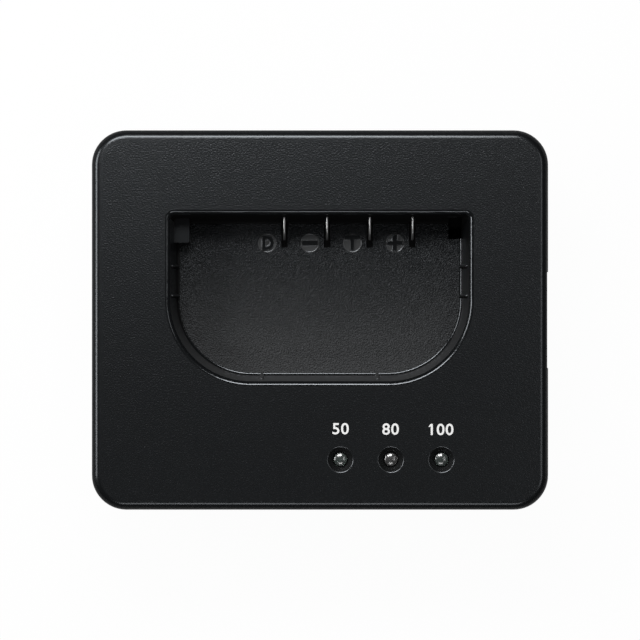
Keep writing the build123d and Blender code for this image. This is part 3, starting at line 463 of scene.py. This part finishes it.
# Charge lamps
# Three 3 mm lamps of clear cast resin stand on a white spacer under their holes.
# The two legs, the reflector cup and its chip show through the round top.


def cast_resin(name, dark, light):
    """Clear resin with a faint tint, the slight waves of a casting and a hard bright skin."""
    material = bpy.data.materials.new(name)
    material.use_nodes = True
    tree = material.node_tree
    skin = tree.nodes["Principled BSDF"]
    skin.inputs["Transmission Weight"].default_value = 0.9
    skin.inputs["IOR"].default_value = 1.56
    skin.inputs["Coat Weight"].default_value = 1.0
    skin.inputs["Coat Roughness"].default_value = 0.24
    skin.inputs["Coat IOR"].default_value = 1.8
    surface = add_node(tree, "ShaderNodeGroup", node_tree=surface_mottle)
    surface.inputs["Cells"].default_value = 2400.0
    tone = add_node(tree, "ShaderNodeMix", {6: (*dark, 1.0), 7: (*light, 1.0)}, data_type="RGBA")
    tree.links.new(surface.outputs["Broad"], tone.inputs["Factor"])
    tree.links.new(tone.outputs[2], skin.inputs["Base Color"])
    finish = add_node(tree, "ShaderNodeMapRange", {"To Min": 0.12, "To Max": 0.18})
    tree.links.new(surface.outputs["Broad"], finish.inputs["Value"])
    tree.links.new(finish.outputs["Result"], skin.inputs["Roughness"])
    return material


green_resin = cast_resin("green_resin", (0.26, 0.34, 0.31), (0.34, 0.42, 0.39))
amber_resin = cast_resin("amber_resin", (0.31, 0.31, 0.31), (0.39, 0.39, 0.39))
lens_low, lens_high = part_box("led_lens_50")
lens_middle = (lens_low + lens_high) / 2
flange_radius = (lens_high.x - lens_low.x) / 2
flange_height = 0.0010
flange_width = 0.00045
lamp_radius = flange_radius - flange_width
dome_radius = 0.0025
dome_edge = 0.00018
# Levels closer together than a hair count as one.
hair = 0.00002
dome_z = lens_high.z - dome_radius
dome_foot_z = dome_z + math.sqrt(dome_radius ** 2 - lamp_radius ** 2)
bpy.ops.object.select_all(action="DESELECT")
bpy.ops.mesh.primitive_uv_sphere_add(segments=64, ring_count=72, radius=dome_radius,
                                     location=(lens_middle.x, lens_middle.y, dome_z))
first_lens = bpy.context.object
bpy.ops.object.transform_apply(location=True, rotation=True, scale=True)
bpy.ops.object.mode_set(mode="EDIT")
bpy.ops.mesh.select_all(action="SELECT")
bpy.ops.mesh.bisect(plane_co=(0.0, 0.0, dome_foot_z), plane_no=(0.0, 0.0, 1.0),
                    clear_inner=True)
body_length = dome_foot_z - lens_low.z - flange_height
bpy.ops.mesh.extrude_region_move(TRANSFORM_OT_translate={"value": (0.0, 0.0, -body_length)})
flare = flange_radius / lamp_radius
bpy.ops.mesh.extrude_region_move()
bpy.ops.transform.resize(value=(flare, flare, 1.0))
bpy.ops.mesh.extrude_region_move(TRANSFORM_OT_translate={"value": (0.0, 0.0, -flange_height)})
bpy.ops.mesh.edge_face_add()
bpy.ops.mesh.select_all(action="SELECT")
bpy.ops.mesh.normals_make_consistent(inside=False)
bpy.ops.mesh.select_mode(type="EDGE")
bpy.ops.mesh.select_all(action="DESELECT")
bpy.ops.object.mode_set(mode="OBJECT")
points = first_lens.data.vertices
for edge in first_lens.data.edges:
    edge.select = all(abs(points[end].co.z - dome_foot_z) < hair / 2 for end in edge.vertices)
bpy.ops.object.mode_set(mode="EDIT")
bpy.ops.mesh.bevel(offset=dome_edge, segments=4, affect="EDGES")
bpy.ops.object.mode_set(mode="OBJECT")
bpy.ops.object.shade_smooth_by_angle(angle=smooth_angle)
for charge, resin in (("50", green_resin), ("80", amber_resin), ("100", green_resin)):
    lens = first_lens
    if charge != "50":
        lens = bpy.data.objects.new("lens", first_lens.data.copy())
        bpy.context.scene.collection.objects.link(lens)
        lens.data.materials.clear()
        place_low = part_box(f"led_lens_{charge}")[0]
        bpy.ops.object.select_all(action="DESELECT")
        lens.select_set(True)
        bpy.context.view_layer.objects.active = lens
        lens.location.x = place_low.x - lens_low.x
        bpy.ops.object.transform_apply(location=True, rotation=True, scale=True)
    lens.name = f"lamp_lens_{charge}"
    lens.data.materials.append(resin)
    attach(lens, "root")
    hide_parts(f"led_lens_{charge}")
frame_silver = plated_metal("frame_silver", (0.34, 0.34, 0.34), (0.44, 0.44, 0.43),
                            roughness=0.45, lines=3000.0)
finish_nodes(frame_silver, "led_lead_frames")
holder_white = mottled("holder_white", (0.60, 0.59, 0.56), (0.70, 0.69, 0.66),
                       roughness=0.5, cells=1500.0, depth=smooth_depth)
finish_nodes(holder_white, "led_holder")

# Top shell
# The upper half of the case is one moulding of the same black plastic, with the battery bay sunk
# in it. Its level faces are grained, while the edges and the bay's walls come smooth out of the mould.
polish_depth = 0.000002
dull_cells = 1500.0
top_plastic = moulded_plastic("top_plastic", case_dark, case_light, roughness=0.325, gloss=0.5,
                              cells=grain_cells, depth=0.000064, level_only=1.0)
lip_plastic = moulded_plastic("lip_plastic", case_dark, case_light, roughness=0.17, gloss=0.7,
                              cells=fine_cells, depth=polish_depth)
rim_plastic = moulded_plastic("rim_plastic", case_dark, case_light, roughness=0.27, gloss=1.0,
                              cells=fine_cells, depth=polish_depth)
sink_dark = (0.0060, 0.0063, 0.0064)
sink_light = (0.0076, 0.0079, 0.0080)
sink_plastic = moulded_plastic("sink_plastic", sink_dark, sink_light, roughness=0.5, gloss=0.1,
                               cells=dull_cells, depth=smooth_depth)
# A dull copy of the case plastic that reflects almost nothing, for the contact wall, the grooves below
# the floor and the left root. Its tone is painted twice as pale as the case plastic: painted light on
# the shaded contact wall.
recess_dark = (0.0072, 0.0072, 0.0073)
recess_light = (0.0086, 0.0086, 0.0087)
dull_plastic_painted_pale = moulded_plastic("dull_plastic_painted_pale", recess_dark, recess_light, roughness=0.6, gloss=0.02,
                                 cells=dull_cells, depth=0.00002)
# Painted light: the discs are the same black moulding as the floor, painted about ten times paler than
# the case plastic to stand in for the light they catch.
disc_dark = (0.0360, 0.0365, 0.0370)
disc_light = (0.0420, 0.0425, 0.0430)
disc_painted_light = moulded_plastic("disc_painted_light", disc_dark, disc_light, roughness=0.25, gloss=0.9,
                               cells=fine_cells, depth=0.000004)
mark_plastic = moulded_plastic("mark_plastic", case_dark, case_light, roughness=0.20, gloss=0.5,
                               cells=fine_cells, depth=polish_depth)
bay_plastic = moulded_plastic("bay_plastic", case_dark, case_light, roughness=0.26, gloss=0.24,
                              cells=grain_cells, depth=0.00042)
wall_plastic = moulded_plastic("wall_plastic", case_dark, case_light, roughness=0.30, gloss=0.5,
                               cells=fine_cells, depth=0.000005)
bay_left_x = -0.0313
bay_right_x = 0.0311
bay_front_y = -0.01285
bay_rear_y = 0.02205


def paint_front_light(material, pale, front_roughness):
    """Paints a finish paler from the contact wall to the front, as painted light where more light
    reaches the bay past the wall's shade, and turns it duller there.
    """
    tree = material.node_tree
    skin = tree.nodes["Principled BSDF"]
    point = add_node(tree, "ShaderNodeTexCoord")
    axes = add_node(tree, "ShaderNodeSeparateXYZ")
    tree.links.new(point.outputs["Object"], axes.inputs["Vector"])
    front_share = add_node(tree, "ShaderNodeMapRange",
                      {"From Min": bay_rear_y, "From Max": bay_front_y})
    tree.links.new(axes.outputs["Y"], front_share.inputs["Value"])
    # Painted light: the share of the pale colour grows towards the front of the bay.
    front_light_ramp = add_node(tree, "ShaderNodeMath", {1: 2.0}, operation="POWER")
    tree.links.new(front_share.outputs["Result"], front_light_ramp.inputs[0])
    tone = add_node(tree, "ShaderNodeMix", {7: (*pale, 1.0)}, data_type="RGBA")
    tree.links.new(front_light_ramp.outputs[0], tone.inputs["Factor"])
    tree.links.new(skin.inputs["Base Color"].links[0].from_socket, tone.inputs[6])
    tree.links.new(tone.outputs[2], skin.inputs["Base Color"])
    finish = skin.inputs["Roughness"].links[0].from_node
    finish.inputs["To Max"].default_value = front_roughness
    tree.links.new(front_share.outputs["Result"], finish.inputs["Value"])


# Painted light: the bay floor and walls are painted paler towards the front, standing in for the light
# that falls there past the contact wall.
paint_front_light(bay_plastic, (0.0500, 0.0508, 0.0516), front_roughness=0.50)
paint_front_light(wall_plastic, (0.0450, 0.0457, 0.0466), front_roughness=0.34)
top_shell = joined_copy("upper_case", "top_shell")
top_z = cad_high.z
bay_depth = 0.0085
bay_floor_z = top_z - bay_depth
disc_sink = 0.0004
disc_z = bay_floor_z - disc_sink
disc_radius = 0.00205
disc_offset = 0.00366
disc_y = 0.01620
mark_edge = 0.00006
mark_foot = 0.00022
disc_places = []
for name in ("data", "minus", "temperature", "plus"):
    blade_low, blade_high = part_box(f"contact_{name}")
    disc_places.append(((blade_low.x + blade_high.x) / 2 - disc_offset, disc_y))


def nearest(x, y, places):
    """Distance across the top from a point to the nearest of some places."""
    return min(math.hypot(x - place_x, y - place_y) for place_x, place_y in places)


steep = 0.1
level_lean = 0.9
for level, width, cuts in ((bay_floor_z, mark_edge, 2), (disc_z, mark_foot, 3)):
    sides = {}
    for face in top_shell.data.polygons:
        for key in face.edge_keys:
            sides.setdefault(key, []).append(face.normal.z)
    bpy.ops.object.mode_set(mode="EDIT")
    bpy.ops.mesh.select_mode(type="EDGE")
    bpy.ops.mesh.select_all(action="DESELECT")
    bpy.ops.object.mode_set(mode="OBJECT")
    points = top_shell.data.vertices
    for edge in top_shell.data.edges:
        ends = [points[end].co for end in edge.vertices]
        at_mark = all(abs(end.z - level) < hair / 2
                      and nearest(end.x, end.y, disc_places) < disc_radius - hair for end in ends)
        edge.select = at_mark and min(sides[edge.key]) < steep and max(sides[edge.key]) > level_lean
    bpy.ops.object.mode_set(mode="EDIT")
    bpy.ops.mesh.bevel(offset=width, segments=cuts, affect="EDGES")
    bpy.ops.object.mode_set(mode="OBJECT")
bpy.ops.object.shade_smooth_by_angle(angle=smooth_angle)
weigh_normals(top_shell)
finishes = (top_plastic, lip_plastic, side_plastic, wall_plastic, bay_plastic, disc_painted_light,
            mark_plastic, rim_plastic, sink_plastic, dull_plastic_painted_pale)
for material in finishes:
    top_shell.data.materials.append(material)
# Each reach is a distance from an edge, and each lean a limit on the way a face points.
edge_reach = 0.0026
side_lean = math.cos(math.radians(40.0))
lip_reach = 0.0012
lip_lean = 0.2
sink_reach = 0.0031
rim_lean = 0.75
root_height = 0.0007
root_lean = 0.99
left_lean = 0.02
left_share = 0.45
rear_lean = 0.06
mark_lean = 0.95
top_lean = 0.999
lamp_places = []
for charge in ("50", "80", "100"):
    lens_low, lens_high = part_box(f"led_lens_{charge}")
    lamp_places.append(((lens_low.x + lens_high.x) / 2, (lens_low.y + lens_high.y) / 2))


def bay_finish(x, y, z, normal):
    """Finish of a face inside the bay, from its lip down to the grooves in its floor."""
    on_disc = nearest(x, y, disc_places) < disc_radius + hair and z > disc_z - hair
    in_root = abs(normal.z) < root_lean and z < bay_floor_z + root_height
    from_left = normal.x > left_lean and normal.y < left_share * math.hypot(normal.x, normal.y)
    if z > top_z - lip_reach and normal.z > lip_lean:
        return lip_plastic
    if on_disc and z > bay_floor_z - hair and normal.z > mark_lean:
        return mark_plastic
    # Disc faces get the pale finish of painted light.
    if on_disc:
        return disc_painted_light
    if z < bay_floor_z - hair or normal.y < -rear_lean:
        return dull_plastic_painted_pale
    if in_root:
        return dull_plastic_painted_pale if from_left else lip_plastic
    if z < bay_floor_z + hair:
        return bay_plastic
    return wall_plastic


def shell_finish(x, y, z, normal):
    """Finish of a face of the top shell, by its place and the way it faces."""
    to_side = min(cad_high.x - abs(x), cad_high.y - abs(y))
    across_bay = bay_left_x - lip_reach < x < bay_right_x + lip_reach
    if z > top_z - hair and normal.z > top_lean:
        return top_plastic
    if nearest(x, y, lamp_places) < sink_reach:
        return rim_plastic if normal.z > rim_lean else sink_plastic
    if to_side < edge_reach and normal.z < side_lean:
        return side_plastic
    if across_bay and bay_front_y - lip_reach < y < bay_rear_y + lip_reach:
        return bay_finish(x, y, z, normal)
    return top_plastic


for face in top_shell.data.polygons:
    face.material_index = finishes.index(shell_finish(*face.center, face.normal))

# Printed charge marks
# The share of charge that each lamp stands for is printed above it on the top face,
# in white ink about a hundredth of a millimetre thick.
mark_height = 0.00238
digit_share = 0.73
stroke_share = 0.02
mark_stretch = 1.05
mark_spacing = 1.08
mark_gap = 0.0063
mark_drop = 0.00008
mark_shift = 0.00010
ink_thickness = 0.00001
flag_width = 0.00038
flag_height = 0.00052
flag_slope = 0.00030
flag_taper = 0.5
ink_white = mottled("ink_white", (0.90, 0.90, 0.89), (0.98, 0.98, 0.97),
                    roughness=0.55, cells=2500.0, depth=0.000004)
for place, charge in enumerate(("50", "80", "100")):
    lens_low, lens_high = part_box(f"led_lens_{charge}")
    mark_x = (lens_low.x + lens_high.x) / 2 - place * mark_shift
    mark_y = (lens_low.y + lens_high.y) / 2 + mark_gap - place * mark_drop
    bpy.ops.object.select_all(action="DESELECT")
    bpy.ops.object.text_add()
    mark = bpy.context.object
    mark.name = f"charge_mark_{charge}"
    mark.data.body = charge
    mark.data.align_x = "CENTER"
    mark.data.align_y = "CENTER"
    mark.data.size = mark_height / digit_share
    mark.data.offset = mark_height * stroke_share
    mark.data.space_character = mark_spacing
    mark.data.extrude = ink_thickness / 2
    bpy.ops.object.convert(target="MESH")
    mark.scale.x = mark_stretch
    mark.location = (mark_x, mark_y, top_z)
    bpy.ops.object.transform_apply(location=True, rotation=True, scale=True)
    if charge == "100":
        left_x = min(point.co.x for point in mark.data.vertices)
        high_y = max(point.co.y for point in mark.data.vertices if point.co.x < left_x + flag_width)
        flag_place = (left_x - flag_width / 2, high_y - flag_height / 2, top_z)
        bpy.ops.object.select_all(action="DESELECT")
        bpy.ops.mesh.primitive_cube_add(size=1.0, location=flag_place)
        flag = bpy.context.object
        flag.scale = (flag_width, flag_height, ink_thickness)
        bpy.ops.object.transform_apply(location=True, rotation=True, scale=True)
        bpy.ops.object.mode_set(mode="EDIT")
        bpy.ops.mesh.select_mode(type="VERT")
        bpy.ops.mesh.select_all(action="DESELECT")
        bpy.ops.object.mode_set(mode="OBJECT")
        for point in flag.data.vertices:
            point.select = point.co.x < left_x - flag_width / 2
        bpy.ops.object.mode_set(mode="EDIT")
        bpy.ops.transform.resize(value=(1.0, flag_taper, 1.0))
        bpy.ops.transform.translate(value=(0.0, -flag_slope, 0.0))
        bpy.ops.object.mode_set(mode="OBJECT")
        mark.select_set(True)
        bpy.context.view_layer.objects.active = mark
        bpy.ops.object.join()
    mark.data.materials.append(ink_white)
    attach(mark, "root")
